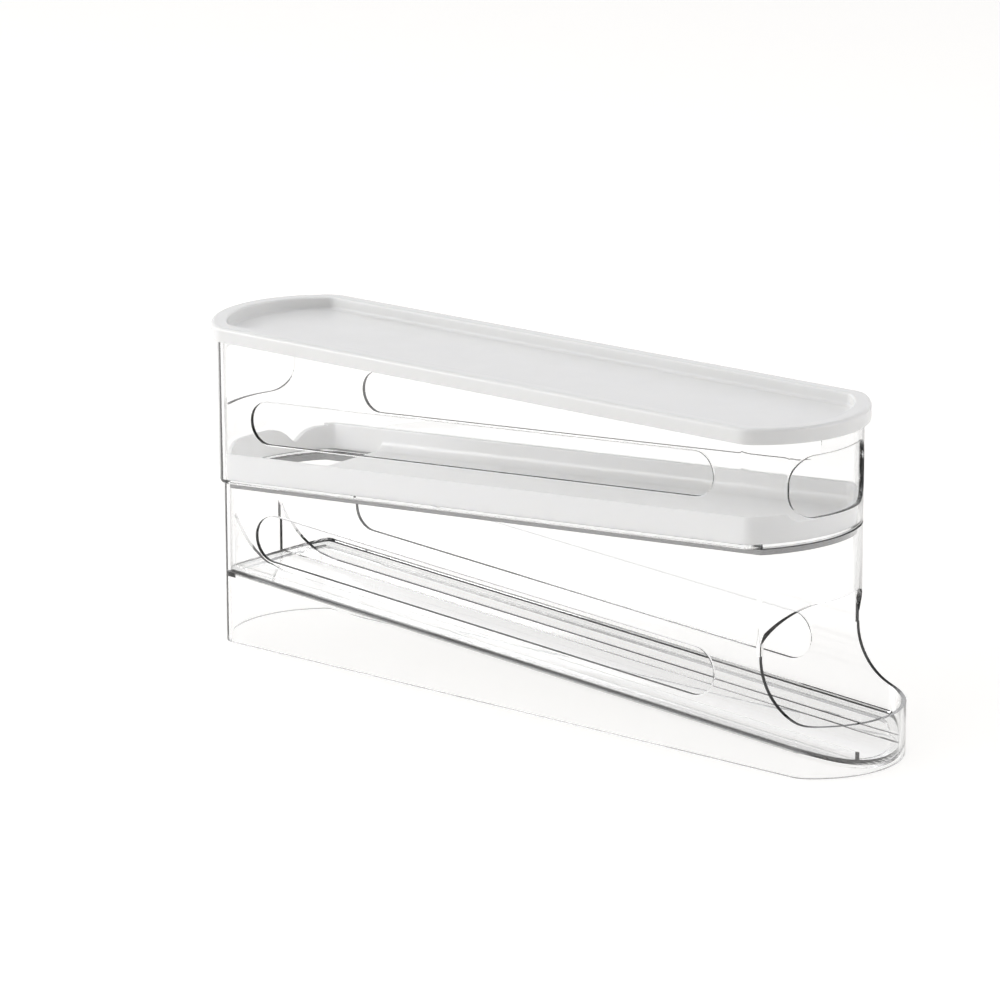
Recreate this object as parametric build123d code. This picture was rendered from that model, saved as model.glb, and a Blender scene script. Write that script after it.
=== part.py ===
from build123d import *
from collections import namedtuple
from math import atan2, cos, pi, radians, sin, sqrt, tan
import os

# Rolling egg dispenser: two clear tiers under a white lid. Eggs roll back along a white tray,
# drop through its hole, and roll forward along a clear ramp to the scoop at the front.
# Millimetres. +X points to the dispensing end, +Z is up, and the origin is on the surface that
# the dispenser stands on, under the middle of its length.

# Overall
scoop_reach = 24.8  # from the lid's front edge to the scoop's front edge
upper_tier_angle = 4.0  # degrees, the upper tier rises to the front
lower_tier_angle = 3.85  # degrees, the lower tier falls to the front

# Lid
lid_length = 375.2
lid_width = 93.0
lid_end_radius = 55.5
lid_corner_radius = 13.5
lid_skirt_depth = 7.5  # from the rim's top to the skirt's foot
lid_skirt_wall = 2.6
lid_rim_thickness = 2.4
lid_rim_width = 8.0
lid_recess_depth = 6.0
lid_panel_thickness = 2.2
lid_fit = 0.5  # clearance on each side of the housing's top edge
lid_edge_radius = 1.8
lid_recess_fillet = 1.6

# Upper housing
upper_wall = 2.2
upper_top_height = 160.3  # above the surface that the dispenser stands on
upper_foot_height = 94.3  # the same, for its underside at the middle of the length
upper_flange_thickness = 2.2
upper_foot_fillet = 1.8
upper_slot_rise = 23.1  # from the housing's underside to the slot's lower edge
upper_slot_drop = 21.9  # from the housing's top edge to the slot's upper edge, at mid length
upper_slot_back_margin = 42.9  # from the back of the housing
upper_slot_front_margin = 42.1  # from the front of the housing
front_window_width = 56.8
front_window_drop = 13.0  # from the housing's top edge
front_window_rise = 11.9  # from the housing's underside at that end
back_window_width = 55.2
back_window_drop = 15.6
back_window_rise = 35.1
window_corner_radius = 12.0
cut_edge_radius = 0.8  # softens the edges of the slots and windows
locating_lip_depth = 3.0
locating_lip_thickness = 1.8
tier_fit = 0.4  # clearance between the locating lip and the lower housing

# Ramp tray
tray_fit = 0.5  # clearance to the upper housing's walls
tray_height = 13.1
tray_wall = 2.0
tray_floor_thickness = 2.3
tray_floor_fillet = 5.0
tray_rim_fillet = 0.9
drop_hole_length = 52.0  # from the tray's back wall to the end of its floor
window_sill = 1.5  # the tray's front rim lies this far under the front window
back_dip_depth = 7.5  # the two dips in the tray's back wall
back_dip_spread = 24.0  # from the middle to the lowest point of each dip
back_dip_width = 26.0

# Lower housing
lower_wall = 2.2
lower_side_step = 4.15  # how far its sides stand in from the upper housing's
lower_back_step = 2.3
lower_front_corner_radius = 4.0
lower_foot_height = 24.8  # of its sides, at the middle of the length
foot_dip = 8.0  # how far the foot dips from the sides to the middle, as the dished ramp under it does
lower_slot_height = 23.0
lower_slot_rise = 23.5  # from the foot to the middle of the slot
lower_slot_back_margin = 39.0
lower_slot_front_margin = 44.2
scoop_end_radius = 45.2
scoop_corner_radius = 13.4
scoop_lip_height = 24.8
scoop_throat = 45.3  # from the lip's front to where the side walls start to fall
scoop_fall_radius = 29.0
arch_overrun = 0.75  # the arch's legs run out through the front corners, this far past each side
arch_crown_height = 76.6
arch_corner_radius = 26.4

# Lower ramp
ramp_fit = 0.3  # clearance to the lower housing's walls
ramp_thickness = 2.2
rail_spread = 16.75  # from the middle to the middle of each rail
rail_height = 3.8
rail_thickness = 2.0
fin_height = 22.8  # above its rail
fin_length = 38.0
fin_flat_share = 0.34  # where the fin's curve leaves the rail, as a share of its length
fin_turn_share = 0.12  # where the curve turns up, as a share of its length
fin_turn_drop = 8.5  # how far the turn lies under the fin's top

# Base
base_wall = 2.2
base_ledge = 4.0  # how much of the ramp's edge it carries
base_ledge_thickness = 2.0

# Places that follow from the sizes above
overall_length = lid_length + scoop_reach
reach = overall_length  # long enough to pass through the whole model
lid_back = -overall_length / 2
upper_slope = tan(radians(upper_tier_angle))
lower_slope = tan(radians(lower_tier_angle))
housing_inset = lid_skirt_wall + lid_fit
least_corner = 0.6

Plan = namedtuple("Plan", "back front half_width back_radius front_radius back_corner front_corner")

lid_plan = Plan(
    back=lid_back,
    front=lid_back + lid_length,
    half_width=lid_width / 2,
    back_radius=lid_end_radius,
    front_radius=lid_end_radius,
    back_corner=lid_corner_radius,
    front_corner=lid_corner_radius,
)


def drawn_in(plan, inset):
    """A plan shape parallel to another, inside it by inset."""
    return Plan(
        back=plan.back + inset,
        front=plan.front - inset,
        half_width=plan.half_width - inset,
        back_radius=plan.back_radius - inset,
        front_radius=plan.front_radius - inset,
        back_corner=max(plan.back_corner - inset, least_corner),
        front_corner=max(plan.front_corner - inset, least_corner),
    )


upper_plan = drawn_in(lid_plan, housing_inset)
upper_bore = drawn_in(upper_plan, upper_wall)
tray_plan = drawn_in(upper_bore, tray_fit)

# The lower housing's front, above the arch, is flush with the upper housing's.
body_plan = Plan(
    back=upper_plan.back + lower_back_step,
    front=upper_plan.front,
    half_width=upper_plan.half_width - lower_side_step,
    back_radius=upper_plan.back_radius - lower_back_step,
    front_radius=upper_plan.front_radius,
    back_corner=upper_plan.back_corner - lower_back_step,
    front_corner=lower_front_corner_radius,
)
scoop_plan = body_plan._replace(
    front=overall_length / 2,
    front_radius=scoop_end_radius,
    front_corner=scoop_corner_radius,
)
ramp_plan = drawn_in(scoop_plan, lower_wall + ramp_fit)


def end_points(apex, sign, half_width, radius, corner):
    """Points round one arched end, from side to side: sign is 1 at the front, -1 at the back."""
    centre = apex - sign * radius
    corner_x = sqrt((radius - corner) ** 2 - (half_width - corner) ** 2)
    corner_y = half_width - corner
    turn = atan2(corner_y, corner_x)
    middle = (turn + pi / 2) / 2
    quarter = [
        (corner_x, half_width),
        (corner_x + corner * cos(middle), corner_y + corner * sin(middle)),
        (radius * cos(turn), radius * sin(turn)),
    ]
    points = quarter + [(radius, 0)] + [(x, -y) for x, y in reversed(quarter)]
    return [(centre + sign * x, sign * y) for x, y in points]


def outline(plan):
    """Face of a plan shape: straight sides, arched ends and rounded corners."""
    ends = [
        end_points(plan.front, 1, plan.half_width, plan.front_radius, plan.front_corner),
        end_points(plan.back, -1, plan.half_width, plan.back_radius, plan.back_corner),
    ]
    edges = []
    for points, following in zip(ends, reversed(ends)):
        for start in (0, 2, 4):
            edges.append(ThreePointArc(*points[start:start + 3]))
        edges.append(Line(points[-1], following[0]))
    return Face(Wire(edges))


def column(plan, low, high):
    """The plan shape as a solid between two heights."""
    return Pos(0, 0, low) * extrude(outline(plan), high - low, dir=(0, 0, 1))


def across(face):
    """A face in the XZ plane, drawn out to both sides past the whole model."""
    return extrude(face, lid_width, dir=(0, 1, 0), both=True)


def ahead_of(x):
    """Everything in front of x."""
    return Pos(x + reach, 0, 0) * Box(2 * reach, reach, 2 * reach)


def behind(x):
    """Everything behind x."""
    return ahead_of(x - 2 * reach)


def upper_plane(x, rise=0.0):
    """Height of the upper tier's underside at x, or of a level that lies rise above it."""
    return upper_foot_height + upper_slope * x + rise


def lower_plane(x, rise=0.0):
    """Height of the lower tier's foot at x, at its sides, or of a level that lies rise above it."""
    return lower_foot_height - lower_slope * x + rise


front_window_sill = upper_plane(upper_plan.front, front_window_rise)


def under_upper(rise=0.0):
    """Everything under a level of the upper tier."""
    corners = [
        (-reach, 0, -reach),
        (reach, 0, -reach),
        (reach, 0, upper_plane(reach, rise)),
        (-reach, 0, upper_plane(-reach, rise)),
    ]
    return across(Face(Wire(Polyline(*corners, close=True).edges())))


def dip_radius():
    """Radius of the dished foot, across the tier."""
    return (body_plan.half_width**2 + foot_dip**2) / (2 * foot_dip)


def under_lower(rise=0.0):
    """Everything under a level of the lower tier, which dips across its width and falls to the front."""
    radius = dip_radius()
    side_y = (body_plan.half_width + radius) / 2
    side_z = radius - foot_dip - sqrt(radius**2 - side_y**2)
    edges = [
        ThreePointArc((-side_y, side_z), (0, -foot_dip), (side_y, side_z)),
        Line((side_y, side_z), (side_y, -reach)),
        Line((side_y, -reach), (-side_y, -reach)),
        Line((-side_y, -reach), (-side_y, side_z)),
    ]
    level = extrude(Plane.YZ * Face(Wire(edges)), reach, both=True)
    return Pos(0, 0, lower_foot_height + rise) * Rot(0, lower_tier_angle, 0) * level


def side_slot(back, front, height, middle, slope):
    """A long slot with round ends, tilted with its tier and cut through both sides."""
    length = (front - back) / cos(atan2(slope, 1))
    face = Plane.XZ * SlotOverall(length, height).face()
    centre_x = (back + front) / 2
    slot = extrude(face, lid_width, both=True)
    return Pos(centre_x, 0, middle + slope * centre_x) * Rot(0, -atan2(slope, 1) * 180 / pi, 0) * slot


def end_window(width, corner, sill, head, inner_x, outer_x):
    """A rounded window through one end wall, from height sill to head and from inner_x to outer_x."""
    height = head - sill
    face = Plane.YZ * RectangleRounded(width, height, min(corner, height / 2 - least_corner)).face()
    window = extrude(face, outer_x - inner_x, dir=(1, 0, 0))
    return Pos(inner_x, 0, (head + sill) / 2) * window


def cut_softly(housing, cutter):
    """The housing less the cutter, with the edges of the cut rounded."""
    housing -= cutter
    room = cutter.bounding_box()
    edges = []
    for edge in housing.edges():
        span = edge.bounding_box()
        if (
            room.min.X - 0.1 < span.min.X
            and span.max.X < room.max.X + 0.1
            and room.min.Y < span.min.Y
            and span.max.Y < room.max.Y
            and room.min.Z - 0.1 < span.min.Z
            and span.max.Z < room.max.Z + 0.1
        ):
            edges.append(edge)
    return fillet(edges, cut_edge_radius)


def make_lid():
    """White cover: a rim that hooks over the housing's top edge round a sunk panel."""
    top = upper_top_height + lid_rim_thickness
    shell = column(lid_plan, top - lid_skirt_depth, top)
    shell = fillet(shell.faces().sort_by(Axis.Z)[-1].edges(), lid_edge_radius)
    inner_wall_plan = drawn_in(upper_bore, lid_fit)
    channel_plan = drawn_in(lid_plan, lid_skirt_wall)
    recess_plan = drawn_in(lid_plan, lid_rim_width)
    panel_top = top - lid_recess_depth
    channel = column(channel_plan, -reach, upper_top_height)
    inner_wall_top = upper_top_height + lid_rim_thickness / 2
    panel = column(inner_wall_plan, panel_top - lid_panel_thickness, inner_wall_top)
    recess = column(recess_plan, panel_top, top + reach)
    recess = fillet(recess.faces().sort_by(Axis.Z)[0].edges(), lid_recess_fillet)
    lid = shell - channel + panel - recess
    rim_edges = lid.faces().filter_by(Axis.Z).sort_by(Axis.Z)[-1].inner_wires()[0].edges()
    return fillet(rim_edges, lid_edge_radius / 2)


def make_upper_housing():
    """Clear upper tier: a wall with a flange at its foot, two side slots and two end windows."""
    shell = column(upper_plan, 0, upper_top_height) - under_upper()
    shell = fillet(shell.faces().sort_by(Axis.Z)[0].edges(), upper_foot_fillet)
    bore = column(upper_bore, 0, upper_top_height + reach) - under_upper(upper_flange_thickness)
    lip_outer = drawn_in(body_plan, lower_wall + tier_fit)
    lip_inner = drawn_in(lip_outer, locating_lip_thickness)
    lip = column(lip_outer, 0, upper_top_height) - under_upper(-locating_lip_depth)
    lip = lip & under_upper(upper_flange_thickness)
    housing = shell - bore + lip - column(lip_inner, -reach, reach)
    slot_foot = upper_foot_height + upper_slot_rise
    slot_head = upper_top_height - upper_slot_drop
    slots = side_slot(
        upper_plan.back + upper_slot_back_margin,
        upper_plan.front - upper_slot_front_margin,
        slot_head - slot_foot,
        (slot_head + slot_foot) / 2,
        upper_slope,
    )
    front_window = end_window(
        front_window_width,
        window_corner_radius,
        front_window_sill,
        upper_top_height - front_window_drop,
        upper_plan.front - upper_plan.front_radius / 2,
        upper_plan.front + upper_wall,
    )
    back_window = end_window(
        back_window_width,
        window_corner_radius,
        upper_plane(upper_plan.back, back_window_rise),
        upper_top_height - back_window_drop,
        upper_plan.back - upper_wall,
        upper_plan.back + upper_plan.back_radius / 2,
    )
    for cutter in (slots, front_window, back_window):
        housing = cut_softly(housing, cutter)
    return housing


def tray_back_dips(rim_height):
    """Cutter for the two dips in the tray's back wall, with the hump between them."""
    half_dip = back_dip_width / 2
    back_x = tray_plan.back - tray_wall
    points = [
        (0, back_dip_spread - half_dip, rim_height),
        (0, back_dip_spread, rim_height - back_dip_depth),
        (0, back_dip_spread + half_dip, rim_height),
    ]
    level = (0, 1, 0)
    curve = Spline(*points, tangents=(level, level))
    top = rim_height + back_dip_depth
    box = Polyline(points[-1], (0, points[-1][1], top), (0, points[0][1], top), points[0])
    depth = tray_plan.back_radius / 2 + tray_wall
    dip = extrude(Face(Wire([curve] + box.edges())), depth, dir=(1, 0, 0))
    dip = Pos(back_x, 0, 0) * dip
    return dip + mirror(dip, Plane.XZ)


def make_ramp_tray():
    """White floor of the upper tier: a shallow tray with a drop hole at its low back end."""
    foot = upper_flange_thickness
    rim = foot + tray_height
    floor_top = foot + tray_floor_thickness
    inner_plan = drawn_in(tray_plan, tray_wall)
    tray = (column(tray_plan, 0, reach) & under_upper(rim)) - under_upper(foot)
    well = column(inner_plan, 0, reach) - under_upper(floor_top)
    well = fillet(well.faces().sort_by(Axis.Z)[0].edges(), tray_floor_fillet)
    tray -= well
    rim_face = tray.faces().sort_by(Axis.Z)[-1]
    tray = fillet(rim_face.edges(), tray_rim_fillet)
    hole_front = inner_plan.back + drop_hole_length
    tray -= column(inner_plan, 0, reach) & behind(hole_front)
    tray -= tray_back_dips(upper_plane(tray_plan.back, rim))
    sill_height = front_window_sill - window_sill
    sill = end_window(
        front_window_width,
        tray_height / 2,
        sill_height,
        sill_height + 2 * tray_height,
        tray_plan.front - tray_plan.front_radius / 2,
        tray_plan.front + tray_wall,
    )
    return tray - sill


def make_lower_housing():
    """Clear lower tier: a wall with two side slots, an arched opening and a scoop with a low lip."""
    spring_height = scoop_lip_height + scoop_fall_radius
    throat_x = scoop_plan.front - scoop_throat
    body_bore = drawn_in(body_plan, lower_wall)
    scoop_bore = drawn_in(scoop_plan, lower_wall)
    body = column(body_plan, spring_height, reach) - column(body_bore, 0, reach)
    body &= under_upper()
    scoop = column(scoop_plan, 0, spring_height) - column(scoop_bore, -reach, reach)
    housing = body + scoop - under_lower()

    fall_end = (throat_x + scoop_fall_radius, 0, scoop_lip_height)
    fall_middle = (
        throat_x + scoop_fall_radius * (1 - cos(pi / 4)),
        0,
        spring_height - scoop_fall_radius * sin(pi / 4),
    )
    fall_start = (throat_x, 0, spring_height)
    far_x = scoop_plan.front + scoop_fall_radius
    mouth_edges = [
        ThreePointArc(fall_start, fall_middle, fall_end),
        Line(fall_end, (far_x, 0, scoop_lip_height)),
        Line((far_x, 0, scoop_lip_height), (far_x, 0, spring_height)),
        Line((far_x, 0, spring_height), fall_start),
    ]
    housing -= across(Face(Wire(mouth_edges)))

    arch_width = 2 * (body_plan.half_width + arch_overrun)
    arch_foot = arch_crown_height - 2 * arch_corner_radius
    arch = end_window(arch_width, arch_corner_radius, arch_foot, arch_crown_height, throat_x, far_x)
    housing -= arch & column(body_plan, spring_height, reach)
    slots = side_slot(
        body_plan.back + lower_slot_back_margin,
        body_plan.front - lower_slot_front_margin,
        lower_slot_height,
        lower_foot_height + lower_slot_rise,
        -lower_slope,
    )
    return cut_softly(housing, slots)


def make_lower_ramp():
    """Clear ramp: a dished plate with two rails, each with a fin at its back end."""
    room = column(ramp_plan, -reach, reach) - under_lower()
    plate = room & under_lower(ramp_thickness)

    rail_box = Box(2 * reach, rail_thickness, 2 * reach)
    rail_boxes = Pos(0, rail_spread, 0) * rail_box + Pos(0, -rail_spread, 0) * rail_box
    rail_top = ramp_thickness + rail_height
    rails = room & rail_boxes & under_lower(rail_top)

    # The fin's curve, from where it leaves the rail to its tip at the housing's back wall
    dip = sqrt(dip_radius() ** 2 - rail_spread**2) - dip_radius() + foot_dip
    back_radius = ramp_plan.back_radius
    fin_side_y = rail_spread - rail_thickness / 2
    back_x = ramp_plan.back + back_radius - sqrt(back_radius**2 - fin_side_y**2)
    low_x = back_x + fin_length
    flat_end_x = back_x + fin_length * fin_flat_share
    fin_top = lower_plane(back_x, rail_top - dip) + fin_height
    low_end = (low_x, 0, lower_plane(low_x, rail_top - dip))
    high_end = (back_x, 0, fin_top)
    sweep_curve = Bezier(
        low_end,
        (flat_end_x, 0, lower_plane(flat_end_x, rail_top - dip)),
        (back_x + fin_length * fin_turn_share, 0, fin_top - fin_turn_drop),
        high_end,
    )
    fin_base_z = lower_plane(low_x, ramp_thickness - dip)
    fin_base = Polyline(
        high_end,
        (ramp_plan.back, 0, fin_top),
        (ramp_plan.back, 0, fin_base_z),
        (low_x, 0, fin_base_z),
        low_end,
    )
    fin_face = Face(Wire([sweep_curve] + fin_base.edges()))
    fins = room & rail_boxes & across(fin_face)

    return plate + rails + fins


def make_base():
    """Clear wedge-shaped skirt with a ledge that carries the ramp's edge."""
    skirt = column(scoop_plan, 0, reach) & under_lower()
    hollow = column(drawn_in(scoop_plan, base_wall), -reach, reach) & under_lower(-base_ledge_thickness)
    window = column(drawn_in(ramp_plan, base_ledge), -reach, reach)
    return skirt - hollow - window


pieces = {
    "lid": make_lid(),
    "ramp_tray": make_ramp_tray(),
    "upper_housing": make_upper_housing(),
    "lower_housing": make_lower_housing(),
    "lower_ramp": make_lower_ramp(),
    "base": make_base(),
}

for name, piece in pieces.items():
    export_step(piece, f"parts/{name}.step")
    size = piece.bounding_box().size
    print(name, len(piece.solids()), "solid", round(size.X, 2), round(size.Y, 2), round(size.Z, 2))
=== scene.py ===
"""Rolling egg dispenser: clear moulded tiers under a white lid, set on a pale studio floor."""

from math import radians

import bmesh
import bpy
from bpy.props import FloatProperty, FloatVectorProperty, PointerProperty
from bpy.types import Operator, Panel, PropertyGroup
from mathutils import Matrix, Vector


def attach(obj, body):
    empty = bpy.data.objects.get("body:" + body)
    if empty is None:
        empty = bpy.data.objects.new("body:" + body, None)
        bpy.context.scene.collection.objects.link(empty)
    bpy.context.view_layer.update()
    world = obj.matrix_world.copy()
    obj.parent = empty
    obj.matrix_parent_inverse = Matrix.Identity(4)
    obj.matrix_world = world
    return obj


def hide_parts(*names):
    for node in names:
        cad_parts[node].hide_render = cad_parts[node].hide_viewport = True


bl_info = {
    "name": "Rolling Egg Dispenser",
    "version": (1, 0, 0),
    "blender": (4, 5, 0),
    "location": "View3D > Sidebar > Egg Dispenser",
    "description": "Finishes a two-tier egg dispenser in clear and white moulded plastic",
    "category": "Object",
}

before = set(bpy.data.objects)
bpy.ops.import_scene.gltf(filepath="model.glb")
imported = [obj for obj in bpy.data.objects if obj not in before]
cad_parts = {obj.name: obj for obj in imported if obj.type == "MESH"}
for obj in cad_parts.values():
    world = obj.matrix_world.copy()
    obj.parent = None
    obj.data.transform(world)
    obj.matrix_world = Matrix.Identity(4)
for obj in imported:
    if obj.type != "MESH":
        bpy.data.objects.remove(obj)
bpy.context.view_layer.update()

MM = 0.001

# Points this close are one point, and faces within this angle are one flat face.
JOINED_DISTANCE = 0.004 * MM
FLAT_ANGLE = radians(0.2)
# A corner that turns more than this stays crisp.
CRISP_ANGLE = radians(28)
# A face looks down when the upward part of its normal is below this.
LOOKS_DOWN = -0.9

# Clear polystyrene: how it bends light, its waves, its handling marks, and the painted shade on a wall that
# turns away from view, which is darkest at the last glancing angle.
CLEAR_IOR = 1.59
WAVE_STRENGTH = 0.02
WAVE_HEIGHT = 2 * MM
HANDLING_WIDTH = 12 * MM
HANDLING_SPAN = (0.35, 0.75)
HANDLING_ROUGHNESS = (0.0, 0.02)
PAINTED_EDGE_SHADE_END = 0.99
PAINTED_EDGE_SHADE_DARKEST = 0.05
# The painted shade line at a wall's foot fades in between these heights over the foot's plane.
PAINTED_FOOT_SHADE_CLEAR = 0.3 * MM
PAINTED_FOOT_SHADE_FULL = 0.1 * MM
# What a thin clear wall lets through to a lamp or to soft light.
PASSING_COLOUR = "#fcfcfc"

# White polypropylene: how it bends light, its grain, its clouds of tone and sheen, and how light spreads
# in it.
WHITE_IOR = 1.49
GRAIN_STRENGTH = 0.05
GRAIN_HEIGHT = 0.2 * MM
CLOUD_WIDTH = 50 * MM
CLOUD_SPAN = (0.3, 0.7)
CLOUD_TONES = (0.975, 1.0)
SHEEN_BELOW = 0.04
SHEEN_ABOVE = 0.05
SPREAD_WEIGHT = 0.8
SPREAD_OF_COLOURS = (1.0, 0.98, 0.94)

# Studio board: its mottle, and how much it is lifted where it is seen, near the dispenser and far from it.
MOTTLE_WIDTH = 1 / 9
MOTTLE_TONES = (0.985, 1.0)
LIFT_COLOUR = "#fffefc"
LIFT_DISTANCES = (0.3, 3.0)
LIFT_LEVELS = (0.36, 0.42)
BOARD_SEGMENTS = 96
BOARD_DROP = 0.2 * MM

# Room: upward parts of a direction and levels between them, for the walls and for the dark cards overhead.
ROOM_COLOUR = "#fbfbfd"
ROOM_HEIGHTS = (0.3, 0.95)
ROOM_LEVELS = (1.3, 0.55)
CARD_HEIGHTS = (0.4, 0.65)
CARD_LEVELS = (1.0, 0.5)
# The dim side of the room: where it lies, how near a direction comes to it, and levels between those.
DIM_SIDE = (0.63, -0.78, 0.0)
DIM_NEARNESS = (0.1, 0.9)
DIM_LEVELS = (1.0, 0.3)

# Lamps: name, place, width, height and the stage setting with the power. All face one point.
LAMP_AIM = (0, 0, 80 * MM)
LAMPS = (
    ("key lamp", (-1.9, -1.5, 0.7), 1.4, 1.3, "key_power"),
    ("top lamp", (-0.5, -0.6, 2.6), 2.6, 2.6, "top_power"),
    ("fill lamp", (2.2, 0.9, 0.7), 1.2, 1.2, "fill_power"),
)

# Camera: the focal length was measured in pixels of a square picture of this width.
PICTURE_PIXELS = 1000
FOCAL_PIXELS = 5299
SENSOR_WIDTH = 36.0
LENS_SHIFT = (-0.051, 0.016)
CAMERA_AIM = (0, 0, 86.5 * MM)
CAMERA_REACH = 40.0
# Light crosses this many surfaces at most, which gets it through every clear wall.
LIGHT_BOUNCES = 28


def linear(code):
    """Turn an sRGB hex colour into a linear RGBA colour."""
    channels = [int(code[i : i + 2], 16) / 255 for i in (1, 3, 5)]
    levels = (c / 12.92 if c <= 0.04045 else ((c + 0.055) / 1.055) ** 2.4 for c in channels)
    return tuple(levels) + (1.0,)


def colour_choice(name, description, code):
    """A colour that a user may change, with its default from an sRGB hex value."""
    return FloatVectorProperty(
        name=name, description=description, subtype="COLOR", size=4, min=0, max=1, default=linear(code)
    )


def length_choice(name, description, metres):
    """A length that a user may change."""
    return FloatProperty(name=name, description=description, default=metres, unit="LENGTH")


def angle_choice(name, description, degrees):
    """An angle that a user may change."""
    return FloatProperty(name=name, description=description, default=radians(degrees), unit="ROTATION")


def level_choice(name, description, level):
    """A power or strength that a user may change, down to nothing."""
    return FloatProperty(name=name, description=description, default=level, min=0)


class EggFinish(PropertyGroup):
    """Colours and surface sizes of the two plastics."""

    lid_colour: colour_choice("Lid colour", "White of the lid", "#f1f1f0")
    tray_colour: colour_choice("Tray colour", "White of the ramp tray", "#f8f8f7")
    clear_tint: colour_choice("Clear tint", "Colour that light takes on along a clear wall", "#cfd1d2")
    clear_depth: level_choice("Tint depth", "How fast the tint builds up, per metre", 20.0)
    wave_size: length_choice("Wave size", "Length of the waves in a clear wall", 0.038)
    grain_size: length_choice("Grain size", "Width of the satin grain on the white pieces", 0.0014)


class EggStage(PropertyGroup):
    """Sizes and levels of the floor, backdrop, lamps and camera."""

    floor_colour: colour_choice("Floor colour", "Pale floor and backdrop", "#f3f2f0")
    backdrop_radius: length_choice("Backdrop radius", "From the dispenser to the backdrop", 6.0)
    backdrop_height: length_choice("Backdrop height", "Height of the backdrop", 1.4)
    key_power: level_choice("Key lamp", "Power of the key lamp, watts", 27.0)
    top_power: level_choice("Top lamp", "Power of the top lamp, watts", 15.0)
    fill_power: level_choice("Fill lamp", "Power of the fill lamp, watts", 9.0)
    sky_level: level_choice("Room level", "Brightness of the room above", 0.79)
    camera_distance: length_choice("Camera distance", "From the camera to its target", 2.5459)
    camera_turn: angle_choice("Camera turn", "Turn of the camera round the dispenser", 39.0)
    camera_rise: angle_choice("Camera rise", "Angle at which the camera looks down", 15.2)


def add_node(tree, kind, settings=None, sockets=None):
    """Add a node with its settings, and set each socket named to a value or feed it from another socket."""
    node = tree.nodes.new(kind)
    for name, value in (settings or {}).items():
        setattr(node, name, value)
    for name, value in (sockets or {}).items():
        if isinstance(value, bpy.types.NodeSocket):
            tree.links.new(value, node.inputs[name])
        else:
            node.inputs[name].default_value = value
    return node


def noise(tree, place, width, detail, roughness=0.5):
    """Soft noise whose patches are about as wide as the width given."""
    sockets = {"Vector": place, "Scale": 1 / width, "Detail": detail, "Roughness": roughness}
    return add_node(tree, "ShaderNodeTexNoise", {}, sockets).outputs["Fac"]


def bump(tree, height, strength, distance):
    """The normal of a surface that rises with a height by up to a distance."""
    sockets = {"Height": height, "Strength": strength, "Distance": distance}
    return add_node(tree, "ShaderNodeBump", {}, sockets).outputs["Normal"]


def ranged(tree, value, span, levels, easing="LINEAR"):
    """Map a value's span to two levels, and hold it level beyond both ends."""
    sockets = {
        "Value": value,
        "From Min": span[0],
        "From Max": span[1],
        "To Min": levels[0],
        "To Max": levels[1],
    }
    return add_node(tree, "ShaderNodeMapRange", {"interpolation_type": easing}, sockets).outputs["Result"]


def combined(tree, operation, first, second):
    """Combine two numbers with a math operation."""
    return add_node(tree, "ShaderNodeMath", {"operation": operation}, {0: first, 1: second}).outputs[0]


def along(tree, vector, direction):
    """How far a vector reaches along a direction."""
    sockets = {0: vector, 1: direction}
    return add_node(tree, "ShaderNodeVectorMath", {"operation": "DOT_PRODUCT"}, sockets).outputs["Value"]


def shaded(tree, colour, level):
    """A colour times a level."""
    sockets = {0: tuple(colour)[:3], "Scale": level}
    return add_node(tree, "ShaderNodeVectorMath", {"operation": "SCALE"}, sockets).outputs[0]


def empty_material(name):
    """A node material with only its output node, and its object coordinates."""
    material = bpy.data.materials.new(name)
    material.use_nodes = True
    tree = material.node_tree
    tree.nodes.clear()
    output = tree.nodes.new("ShaderNodeOutputMaterial")
    place = add_node(tree, "ShaderNodeTexCoord").outputs["Object"]
    return material, tree, output, place


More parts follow.
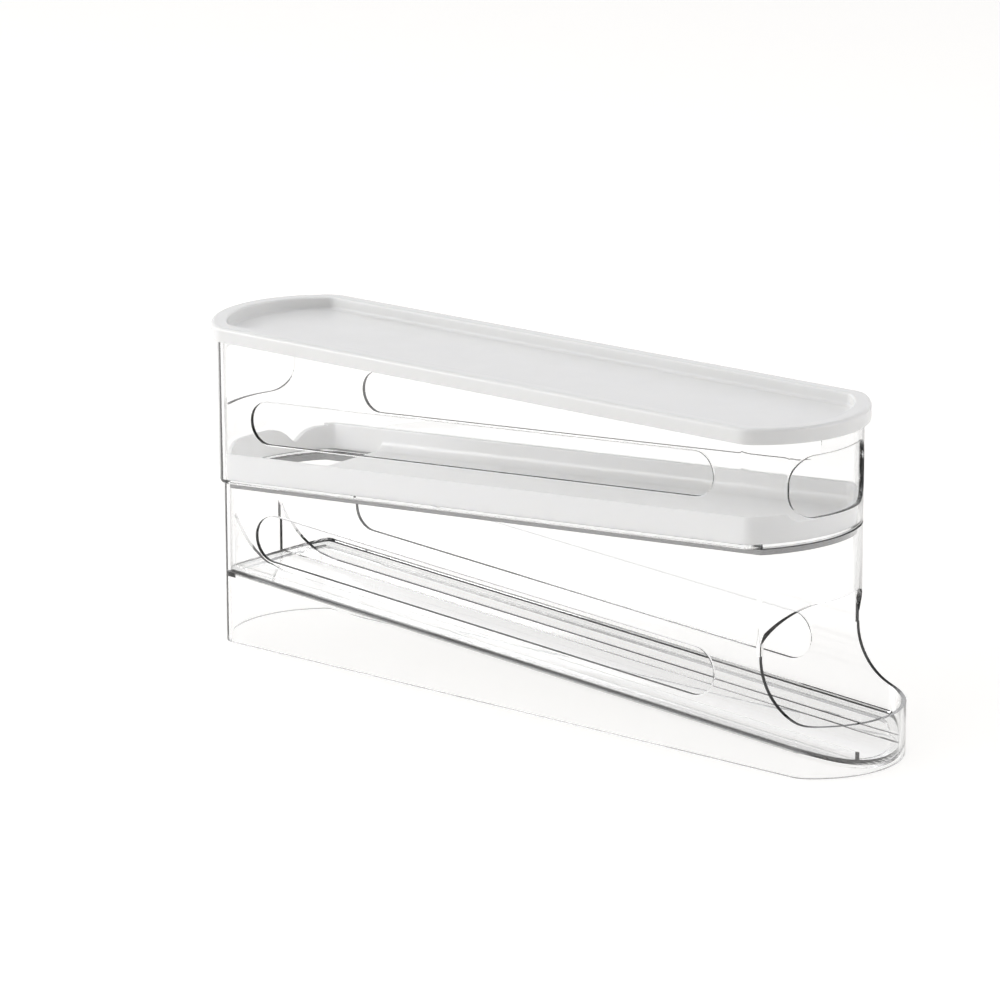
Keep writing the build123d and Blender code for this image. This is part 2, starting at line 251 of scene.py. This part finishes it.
def clear_polystyrene(name, finish, edge_shade_start, foot, painted_foot_shade_clarity):
    """Crystal polystyrene, polished mould: sharp see-through walls with grey shade painted along the edges
    that turn away.
    """
    material, tree, output, place = empty_material(name)
    # Shrinkage in the mould leaves soft waves a few centimetres long, which bend what a wall shows.
    waves = noise(tree, place, finish.wave_size, detail=1.0, roughness=0.4)
    # Handling marks dull the polish a little in patches.
    handling = noise(tree, place, HANDLING_WIDTH, detail=3.0, roughness=0.6)
    # Painted shade: where a wall turns away from view its colour is painted grey, darkest at the last
    # glancing angle.
    turned = add_node(tree, "ShaderNodeLayerWeight", {}, {"Blend": 0.5}).outputs["Facing"]
    painted_edge_shade = ranged(tree, turned, (edge_shade_start, PAINTED_EDGE_SHADE_END), (1.0, PAINTED_EDGE_SHADE_DARKEST), "SMOOTHSTEP")
    foot_shade_clarity = 1.0
    if foot:
        # Painted shade: along the wall's foot a grey, less clear line is painted under the clear wall,
        # standing in for the shade that gathers there.
        normal, offset = foot
        line = (offset - PAINTED_FOOT_SHADE_CLEAR, offset - PAINTED_FOOT_SHADE_FULL)
        foot_shade_clarity = ranged(tree, along(tree, place, normal), line, (1.0, painted_foot_shade_clarity))
        painted_edge_shade = combined(tree, "MULTIPLY", painted_edge_shade, foot_shade_clarity)
    glass = add_node(
        tree,
        "ShaderNodeBsdfPrincipled",
        {},
        {
            "Base Color": shaded(tree, (1.0, 1.0, 1.0), painted_edge_shade),
            "Roughness": ranged(tree, handling, HANDLING_SPAN, HANDLING_ROUGHNESS),
            "IOR": CLEAR_IOR,
            "Transmission Weight": foot_shade_clarity,
            "Normal": bump(tree, waves, WAVE_STRENGTH, WAVE_HEIGHT),
        },
    )
    # Lamp light and the soft light that surfaces give each other pass straight through the thin walls.
    path = add_node(tree, "ShaderNodeLightPath")
    passing = combined(tree, "MAXIMUM", path.outputs["Is Shadow Ray"], path.outputs["Is Diffuse Ray"])
    straight = add_node(tree, "ShaderNodeBsdfTransparent", {}, {"Color": linear(PASSING_COLOUR)})
    surface = add_node(
        tree, "ShaderNodeMixShader", {}, {0: passing, 1: glass.outputs[0], 2: straight.outputs[0]}
    )
    tint = {"Color": finish.clear_tint, "Density": finish.clear_depth}
    depth = add_node(tree, "ShaderNodeVolumeAbsorption", {}, tint)
    tree.links.new(surface.outputs[0], output.inputs["Surface"])
    tree.links.new(depth.outputs[0], output.inputs["Volume"])
    return material


def white_plastic(name, colour, finish, roughness, spread):
    """White polypropylene, satin mould: an even soft sheen with a very fine grain."""
    material, tree, output, place = empty_material(name)
    # The real grain is about 0.1 mm wide, so it is drawn coarser to show at all.
    grain = noise(tree, place, finish.grain_size, detail=2.0, roughness=0.6)
    # Melt that cools at different rates leaves faint clouds of tone and sheen.
    clouds = noise(tree, place, CLOUD_WIDTH, detail=3.0)
    sheen = (roughness - SHEEN_BELOW, roughness + SHEEN_ABOVE)
    body = add_node(
        tree,
        "ShaderNodeBsdfPrincipled",
        {},
        {
            "Base Color": shaded(tree, colour, ranged(tree, clouds, CLOUD_SPAN, CLOUD_TONES)),
            "Roughness": ranged(tree, clouds, CLOUD_SPAN, sheen),
            "IOR": WHITE_IOR,
            "Subsurface Weight": SPREAD_WEIGHT,
            "Subsurface Radius": SPREAD_OF_COLOURS,
            "Subsurface Scale": spread,
            "Normal": bump(tree, grain, GRAIN_STRENGTH, GRAIN_HEIGHT),
        },
    )
    tree.links.new(body.outputs[0], output.inputs["Surface"])
    return material


def add_mesh_object(name, mesh_tools, material):
    """Make a smooth mesh object from a bmesh and add it to the scene."""
    mesh = bpy.data.meshes.new(name)
    mesh_tools.to_mesh(mesh)
    mesh_tools.free()
    mesh.materials.append(material)
    for face in mesh.polygons:
        face.use_smooth = True
    made = bpy.data.objects.new(name, mesh)
    bpy.context.scene.collection.objects.link(made)
    return made


def merged_shape(name):
    """Copy a moulding's mesh with its points joined and its flat faces made whole."""
    shape = bmesh.new()
    shape.from_mesh(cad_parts[name].data)
    bmesh.ops.remove_doubles(shape, verts=shape.verts[:], dist=JOINED_DISTANCE)
    bmesh.ops.dissolve_limit(shape, angle_limit=FLAT_ANGLE, verts=shape.verts[:], edges=shape.edges[:])
    return shape


def foot_plane(name):
    """The normal and offset of the plane that a moulding stands on: its widest one that looks down."""
    shape = merged_shape(name)
    areas = {}
    for face in shape.faces:
        if face.normal.z < LOOKS_DOWN:
            normal = tuple(round(part, 4) for part in face.normal)
            plane = normal, round(face.normal.dot(face.calc_center_median()), 5)
            areas[plane] = areas.get(plane, 0) + face.calc_area()
    shape.free()
    return max(areas, key=areas.get)


def finish_moulding(name, material):
    """Stand a merged copy in for a moulding: faces stay flat, curves are smooth and corners are crisp."""
    shape = merged_shape(name)
    for edge in shape.edges:
        edge.smooth = edge.is_manifold and edge.calc_face_angle(0.0) < CRISP_ANGLE
    piece = add_mesh_object(name + "_moulding", shape, material)
    even = piece.modifiers.new("even shading", "WEIGHTED_NORMAL")
    even.keep_sharp = True
    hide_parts(name)
    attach(piece, name)


def finish_clear(name, look, finish, edge_shade_start, painted_foot_shade_clarity=None):
    """Finish a moulding in clear plastic, with a painted shade line at its foot if the line's clarity is
    given.
    """
    foot = foot_plane(name) if painted_foot_shade_clarity else None
    material = clear_polystyrene(look, finish, edge_shade_start, foot, painted_foot_shade_clarity)
    finish_moulding(name, material)


def finish_white(name, look, colour, finish, roughness, spread):
    """Finish a moulding in white plastic."""
    finish_moulding(name, white_plastic(look, colour, finish, roughness, spread))


class EggTiers(Operator):
    """Finish the upper and lower housings in clear plastic"""

    bl_idname = "egg_dispenser.tiers"
    bl_label = "Clear tiers"

    def execute(self, context):
        """Give the two housings their clear plastic."""
        finish = context.scene.egg_finish
        upper, lower = "clear moulded upper wall", "clear moulded lower wall"
        finish_clear("upper_housing", upper, finish, edge_shade_start=0.62, painted_foot_shade_clarity=0.3)
        finish_clear("lower_housing", lower, finish, edge_shade_start=0.62, painted_foot_shade_clarity=0.35)
        return {"FINISHED"}


class EggFoot(Operator):
    """Finish the lower ramp and the base in clear plastic"""

    bl_idname = "egg_dispenser.foot"
    bl_label = "Clear ramp and base"

    def execute(self, context):
        """Give the ramp and the base their clear plastic."""
        finish = context.scene.egg_finish
        finish_clear("lower_ramp", "clear moulded ramp plate", finish, edge_shade_start=0.93)
        finish_clear("base", "clear moulded base skirt", finish, edge_shade_start=0.8, painted_foot_shade_clarity=0.5)
        return {"FINISHED"}


class EggTray(Operator):
    """Finish the ramp tray in white plastic"""

    bl_idname = "egg_dispenser.tray"
    bl_label = "White tray"

    def execute(self, context):
        """Give the tray its white plastic."""
        finish = context.scene.egg_finish
        look, colour = "white moulded tray", finish.tray_colour
        finish_white("ramp_tray", look, colour, finish, roughness=0.32, spread=3 * MM)
        return {"FINISHED"}


class EggLid(Operator):
    """Finish the lid in white plastic"""

    bl_idname = "egg_dispenser.lid"
    bl_label = "White lid"

    def execute(self, context):
        """Give the lid its white plastic."""
        finish = context.scene.egg_finish
        look, colour = "white moulded lid", finish.lid_colour
        finish_white("lid", look, colour, finish, roughness=0.22, spread=0.8 * MM)
        return {"FINISHED"}


def stage_material(colour):
    """Matt painted studio board: even and pale, with the least mottle of rolled paint."""
    material, tree, output, place = empty_material("pale studio board")
    mottle = noise(tree, place, MOTTLE_WIDTH, detail=2.0)
    paint = shaded(tree, colour, ranged(tree, mottle, (0.0, 1.0), MOTTLE_TONES))
    matt = add_node(tree, "ShaderNodeBsdfDiffuse", {}, {"Color": paint})
    # The board is lifted to white where it is seen, in gloss or through glass too, more so where the lamps
    # are far away, and keeps its shadows.
    path = add_node(tree, "ShaderNodeLightPath")
    seen = combined(tree, "MAXIMUM", path.outputs["Is Camera Ray"], path.outputs["Is Glossy Ray"])
    shown = combined(tree, "MAXIMUM", seen, path.outputs["Is Transmission Ray"])
    away = add_node(tree, "ShaderNodeVectorMath", {"operation": "LENGTH"}, {0: place}).outputs["Value"]
    level = combined(tree, "MULTIPLY", shown, ranged(tree, away, LIFT_DISTANCES, LIFT_LEVELS))
    lift = add_node(tree, "ShaderNodeEmission", {}, {"Color": linear(LIFT_COLOUR), "Strength": level})
    both = add_node(tree, "ShaderNodeAddShader", {}, {0: matt.outputs[0], 1: lift.outputs[0]})
    tree.links.new(both.outputs[0], output.inputs["Surface"])
    return material


def studio_board(stage):
    """Lay one turn of board: a floor just under the dispenser that runs up into a round wall."""
    sheet = bmesh.new()
    bmesh.ops.create_circle(
        sheet, cap_ends=True, segments=BOARD_SEGMENTS, radius=stage.backdrop_radius
    )
    rim = [edge for edge in sheet.edges if edge.is_boundary]
    raised = bmesh.ops.extrude_edge_only(sheet, edges=rim)
    wall_top = [part for part in raised["geom"] if isinstance(part, bmesh.types.BMVert)]
    bmesh.ops.translate(sheet, verts=wall_top, vec=(0, 0, stage.backdrop_height))
    bmesh.ops.translate(sheet, verts=sheet.verts[:], vec=(0, 0, -BOARD_DROP))
    board = add_mesh_object("studio_board", sheet, stage_material(stage.floor_colour))
    # The floor is one face with many corners and shades flat. The wall's faces have four corners.
    for face in board.data.polygons:
        face.use_smooth = len(face.vertices) == 4


def add_soft_lamp(name, place, width, height, power):
    """Hang a soft lamp at a place, facing the dispenser."""
    lamp = bpy.data.lights.new(name, "AREA")
    lamp.shape = "RECTANGLE"
    lamp.size = width
    lamp.size_y = height
    lamp.energy = power
    made = bpy.data.objects.new(name, lamp)
    made.location = place
    made.rotation_euler = (Vector(LAMP_AIM) - Vector(place)).to_track_quat("-Z", "Y").to_euler()
    bpy.context.scene.collection.objects.link(made)


def studio_room(level):
    """Light the room above the backdrop: pale low down and greyer overhead, for grey in clear edges."""
    world = bpy.data.worlds.new("studio room")
    bpy.context.scene.world = world
    world.use_nodes = True
    tree = world.node_tree
    tree.nodes.clear()
    direction = add_node(tree, "ShaderNodeTexCoord").outputs["Generated"]
    height = add_node(tree, "ShaderNodeSeparateXYZ", {}, {0: direction}).outputs["Z"]
    walls = ranged(tree, height, ROOM_HEIGHTS, [share * level for share in ROOM_LEVELS])
    # Dark cards hang overhead, too small to dim the object, and show only in its gloss and its edges.
    path = add_node(tree, "ShaderNodeLightPath")
    mirrored = combined(
        tree, "MAXIMUM", path.outputs["Is Glossy Ray"], path.outputs["Is Transmission Ray"]
    )
    hung = ranged(tree, height, CARD_HEIGHTS, CARD_LEVELS)
    cards = ranged(tree, mirrored, (0.0, 1.0), (1.0, hung))
    # The side of the room that the dispenser's near front corner looks at is dim, which models its corners.
    dim = ranged(tree, along(tree, direction, DIM_SIDE), DIM_NEARNESS, DIM_LEVELS)
    strength = combined(tree, "MULTIPLY", combined(tree, "MULTIPLY", walls, cards), dim)
    sockets = {"Color": linear(ROOM_COLOUR), "Strength": strength}
    glow = add_node(tree, "ShaderNodeBackground", {}, sockets)
    output = add_node(tree, "ShaderNodeOutputWorld")
    tree.links.new(glow.outputs[0], output.inputs["Surface"])


def studio_camera(scene, stage):
    """Aim the camera from its turn, rise and distance, with the lens and shift of the picture."""
    camera = bpy.data.cameras.new("camera")
    camera.sensor_width = SENSOR_WIDTH
    camera.lens = SENSOR_WIDTH * FOCAL_PIXELS / PICTURE_PIXELS
    camera.shift_x, camera.shift_y = LENS_SHIFT
    camera.clip_end = CAMERA_REACH
    made = bpy.data.objects.new("camera", camera)
    turned = Matrix.Rotation(stage.camera_turn, 4, "Z")
    tipped = Matrix.Rotation(radians(90) - stage.camera_rise, 4, "X")
    away = Matrix.Translation((0, 0, stage.camera_distance))
    made.matrix_world = Matrix.Translation(CAMERA_AIM) @ turned @ tipped @ away
    scene.collection.objects.link(made)
    scene.camera = made


class EggStudio(Operator):
    """Set the floor, backdrop, lamps and camera"""

    bl_idname = "egg_dispenser.stage"
    bl_label = "Studio"

    def execute(self, context):
        """Build the stage round the dispenser and aim the camera."""
        scene = context.scene
        stage = scene.egg_stage
        studio_board(stage)
        for name, place, width, height, power in LAMPS:
            add_soft_lamp(name, place, width, height, getattr(stage, power))
        studio_room(stage.sky_level)
        studio_camera(scene, stage)
        scene.view_settings.view_transform = "Standard"
        scene.cycles.max_bounces = LIGHT_BOUNCES
        scene.cycles.transmission_bounces = LIGHT_BOUNCES
        scene.cycles.transparent_max_bounces = LIGHT_BOUNCES
        return {"FINISHED"}


class EggPanel(Panel):
    """Lists the steps that finish the dispenser."""

    bl_idname = "VIEW3D_PT_egg_dispenser"
    bl_label = "Rolling Egg Dispenser"
    bl_space_type = "VIEW_3D"
    bl_region_type = "UI"
    bl_category = "Egg Dispenser"

    def draw(self, context):
        """Show the colours and sizes, then a button for each step."""
        column = self.layout.column()
        for group in (context.scene.egg_finish, context.scene.egg_stage):
            for name in group.__annotations__:
                column.prop(group, name)
        for step in STEPS:
            column.operator(step.bl_idname)


STEPS = (EggTiers, EggFoot, EggTray, EggLid, EggStudio)
CLASSES = (EggFinish, EggStage) + STEPS + (EggPanel,)


def register():
    """Register the classes and hang the property groups on the scene."""
    for part in CLASSES:
        bpy.utils.register_class(part)
    bpy.types.Scene.egg_finish = PointerProperty(type=EggFinish)
    bpy.types.Scene.egg_stage = PointerProperty(type=EggStage)


def unregister():
    """Take the property groups and classes away again."""
    del bpy.types.Scene.egg_stage
    del bpy.types.Scene.egg_finish
    for part in reversed(CLASSES):
        bpy.utils.unregister_class(part)


def main():
    """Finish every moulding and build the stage."""
    register()
    for step in (
        bpy.ops.egg_dispenser.tiers,
        bpy.ops.egg_dispenser.foot,
        bpy.ops.egg_dispenser.tray,
        bpy.ops.egg_dispenser.lid,
        bpy.ops.egg_dispenser.stage,
    ):
        step()


if __name__ == "__main__":
    main()
